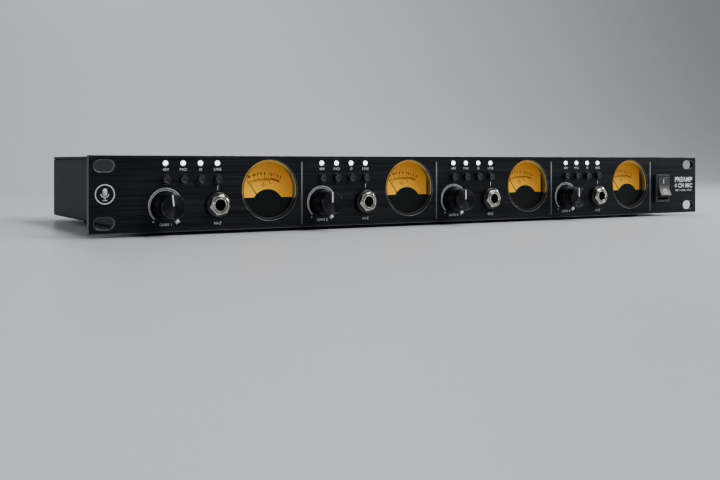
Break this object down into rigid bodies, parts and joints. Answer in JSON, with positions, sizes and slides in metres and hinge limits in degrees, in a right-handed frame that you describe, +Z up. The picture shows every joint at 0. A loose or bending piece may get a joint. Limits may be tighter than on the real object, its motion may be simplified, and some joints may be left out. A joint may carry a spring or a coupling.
{
  "type": "microphone preamp",
  "caption": "Rack-mount microphone preamp with round needle meters, gain knobs, push buttons, instrument jacks, a power rocker and rear XLR connectors.",
  "frame": {"origin": "the middle of the footprint of the bounding box, at the height of the surface that the feet stand on", "axes": "+X from the power switch's far end towards the power switch along the front panel (left to right seen from the front), +Y from the front panel towards the rear connectors, +Z up"},
  "size_m": [0.4826, 0.2032, 0.0458],
  "materials": {
    "black_anodised_aluminium": "brushed and anodised black",
    "black_painted_steel": "satin powder coat",
    "black_turned_aluminium": "turned and anodised black",
    "black_plastic": "moulded, matt",
    "button_black": "moulded, satin",
    "white_lamp": "clear moulding, lit from behind",
    "nickel_plate": "nickel plate",
    "clear_acrylic": "clear, with a black mask behind its lower part",
    "amber_dial": "printed and lit from behind",
    "needle_red": "painted dark red",
    "circuit_board": "green solder mask",
    "black_rubber": "matt"
  },
  "bodies": {
    "enclosure": {"front_panel": "black_anodised_aluminium", "chassis": "black_painted_steel", "top_cover": "black_painted_steel", "control_board": "circuit_board", "main_board": "circuit_board", "mains_inlet": "black_plastic", "power_switch_frame": "black_plastic", "foot_front_left": "black_rubber", "foot_front_right": "black_rubber", "foot_rear_left": "black_rubber", "foot_rear_right": "black_rubber", "light_guide_1": "white_lamp", "hi_z_jack_1": "black_plastic", "jack_nut_1": "nickel_plate", "meter_cover_1": "clear_acrylic", "meter_dial_1": "amber_dial", "meter_case_1": "black_plastic", "light_guide_2": "white_lamp", "hi_z_jack_2": "black_plastic", "jack_nut_2": "nickel_plate", "meter_cover_2": "clear_acrylic", "meter_dial_2": "amber_dial", "meter_case_2": "black_plastic", "light_guide_3": "white_lamp", "hi_z_jack_3": "black_plastic", "jack_nut_3": "nickel_plate", "meter_cover_3": "clear_acrylic", "meter_dial_3": "amber_dial", "meter_case_3": "black_plastic", "light_guide_4": "white_lamp", "hi_z_jack_4": "black_plastic", "jack_nut_4": "nickel_plate", "meter_cover_4": "clear_acrylic", "meter_dial_4": "amber_dial", "meter_case_4": "black_plastic"},
    "button_1_48v": {"button_1_48v": "button_black"},
    "button_1_pad": {"button_1_pad": "button_black"},
    "button_1_phase": {"button_1_phase": "button_black"},
    "button_1_line": {"button_1_line": "button_black"},
    "button_2_48v": {"button_2_48v": "button_black"},
    "button_2_pad": {"button_2_pad": "button_black"},
    "button_2_phase": {"button_2_phase": "button_black"},
    "button_2_line": {"button_2_line": "button_black"},
    "button_3_48v": {"button_3_48v": "button_black"},
    "button_3_pad": {"button_3_pad": "button_black"},
    "button_3_phase": {"button_3_phase": "button_black"},
    "button_3_line": {"button_3_line": "button_black"},
    "button_4_48v": {"button_4_48v": "button_black"},
    "button_4_pad": {"button_4_pad": "button_black"},
    "button_4_phase": {"button_4_phase": "button_black"},
    "button_4_line": {"button_4_line": "button_black"},
    "gain_knob_1": {"gain_knob_1": "black_turned_aluminium"},
    "gain_knob_2": {"gain_knob_2": "black_turned_aluminium"},
    "gain_knob_3": {"gain_knob_3": "black_turned_aluminium"},
    "gain_knob_4": {"gain_knob_4": "black_turned_aluminium"},
    "meter_needle_1": {"meter_needle_1": "needle_red"},
    "meter_needle_2": {"meter_needle_2": "needle_red"},
    "meter_needle_3": {"meter_needle_3": "needle_red"},
    "meter_needle_4": {"meter_needle_4": "needle_red"},
    "power_rocker": {"power_rocker": "black_plastic"}
  },
  "joints": [
    {"name": "button_1_48v_press", "type": "slide", "parent": "enclosure", "child": "button_1_48v", "axis": [0, 1, 0], "range_m": [0, 0.0012], "stiffness_N_per_m": 150, "springref_m": -0.002},
    {"name": "button_1_pad_press", "type": "slide", "parent": "enclosure", "child": "button_1_pad", "axis": [0, 1, 0], "range_m": [0, 0.0012], "stiffness_N_per_m": 150, "springref_m": -0.002},
    {"name": "button_1_phase_press", "type": "slide", "parent": "enclosure", "child": "button_1_phase", "axis": [0, 1, 0], "range_m": [0, 0.0012], "stiffness_N_per_m": 150, "springref_m": -0.002},
    {"name": "button_1_line_press", "type": "slide", "parent": "enclosure", "child": "button_1_line", "axis": [0, 1, 0], "range_m": [0, 0.0012], "stiffness_N_per_m": 150, "springref_m": -0.002},
    {"name": "button_2_48v_press", "type": "slide", "parent": "enclosure", "child": "button_2_48v", "axis": [0, 1, 0], "range_m": [0, 0.0012], "stiffness_N_per_m": 150, "springref_m": -0.002},
    {"name": "button_2_pad_press", "type": "slide", "parent": "enclosure", "child": "button_2_pad", "axis": [0, 1, 0], "range_m": [0, 0.0012], "stiffness_N_per_m": 150, "springref_m": -0.002},
    {"name": "button_2_phase_press", "type": "slide", "parent": "enclosure", "child": "button_2_phase", "axis": [0, 1, 0], "range_m": [0, 0.0012], "stiffness_N_per_m": 150, "springref_m": -0.002},
    {"name": "button_2_line_press", "type": "slide", "parent": "enclosure", "child": "button_2_line", "axis": [0, 1, 0], "range_m": [0, 0.0012], "stiffness_N_per_m": 150, "springref_m": -0.002},
    {"name": "button_3_48v_press", "type": "slide", "parent": "enclosure", "child": "button_3_48v", "axis": [0, 1, 0], "range_m": [0, 0.0012], "stiffness_N_per_m": 150, "springref_m": -0.002},
    {"name": "button_3_pad_press", "type": "slide", "parent": "enclosure", "child": "button_3_pad", "axis": [0, 1, 0], "range_m": [0, 0.0012], "stiffness_N_per_m": 150, "springref_m": -0.002},
    {"name": "button_3_phase_press", "type": "slide", "parent": "enclosure", "child": "button_3_phase", "axis": [0, 1, 0], "range_m": [0, 0.0012], "stiffness_N_per_m": 150, "springref_m": -0.002},
    {"name": "button_3_line_press", "type": "slide", "parent": "enclosure", "child": "button_3_line", "axis": [0, 1, 0], "range_m": [0, 0.0012], "stiffness_N_per_m": 150, "springref_m": -0.002},
    {"name": "button_4_48v_press", "type": "slide", "parent": "enclosure", "child": "button_4_48v", "axis": [0, 1, 0], "range_m": [0, 0.0012], "stiffness_N_per_m": 150, "springref_m": -0.002},
    {"name": "button_4_pad_press", "type": "slide", "parent": "enclosure", "child": "button_4_pad", "axis": [0, 1, 0], "range_m": [0, 0.0012], "stiffness_N_per_m": 150, "springref_m": -0.002},
    {"name": "button_4_phase_press", "type": "slide", "parent": "enclosure", "child": "button_4_phase", "axis": [0, 1, 0], "range_m": [0, 0.0012], "stiffness_N_per_m": 150, "springref_m": -0.002},
    {"name": "button_4_line_press", "type": "slide", "parent": "enclosure", "child": "button_4_line", "axis": [0, 1, 0], "range_m": [0, 0.0012], "stiffness_N_per_m": 150, "springref_m": -0.002},
    {"name": "gain_1_turn", "type": "hinge", "parent": "enclosure", "child": "gain_knob_1", "pos_m": [-0.1976, -0.08765, 0.017], "axis": [0, 1, 0], "range_deg": [-143, 157]},
    {"name": "gain_2_turn", "type": "hinge", "parent": "enclosure", "child": "gain_knob_2", "pos_m": [-0.0972, -0.08765, 0.017], "axis": [0, 1, 0], "range_deg": [-150, 150]},
    {"name": "gain_3_turn", "type": "hinge", "parent": "enclosure", "child": "gain_knob_3", "pos_m": [0.0032, -0.08765, 0.017], "axis": [0, 1, 0], "range_deg": [-150, 150]},
    {"name": "gain_4_turn", "type": "hinge", "parent": "enclosure", "child": "gain_knob_4", "pos_m": [0.1036, -0.08765, 0.017], "axis": [0, 1, 0], "range_deg": [-150, 150]},
    {"name": "meter_1_swing", "type": "hinge", "parent": "enclosure", "child": "meter_needle_1", "pos_m": [-0.1325, -0.08015, 0.0149], "axis": [0, 1, 0], "range_deg": [0, 70], "stiffness_Nm_per_rad": 0.00002, "springref_deg": -17.19},
    {"name": "meter_2_swing", "type": "hinge", "parent": "enclosure", "child": "meter_needle_2", "pos_m": [-0.0321, -0.08015, 0.0149], "axis": [0, 1, 0], "range_deg": [0, 70], "stiffness_Nm_per_rad": 0.00002, "springref_deg": -17.19},
    {"name": "meter_3_swing", "type": "hinge", "parent": "enclosure", "child": "meter_needle_3", "pos_m": [0.0683, -0.08015, 0.0149], "axis": [0, 1, 0], "range_deg": [0, 70], "stiffness_Nm_per_rad": 0.00002, "springref_deg": -17.19},
    {"name": "meter_4_swing", "type": "hinge", "parent": "enclosure", "child": "meter_needle_4", "pos_m": [0.1687, -0.08015, 0.0149], "axis": [0, 1, 0], "range_deg": [0, 70], "stiffness_Nm_per_rad": 0.00002, "springref_deg": -17.19},
    {"name": "power_rock", "type": "hinge", "parent": "enclosure", "child": "power_rocker", "pos_m": [0.2019, -0.08545, 0.0216], "axis": [1, 0, 0], "range_deg": [0, 26]}
  ]
}
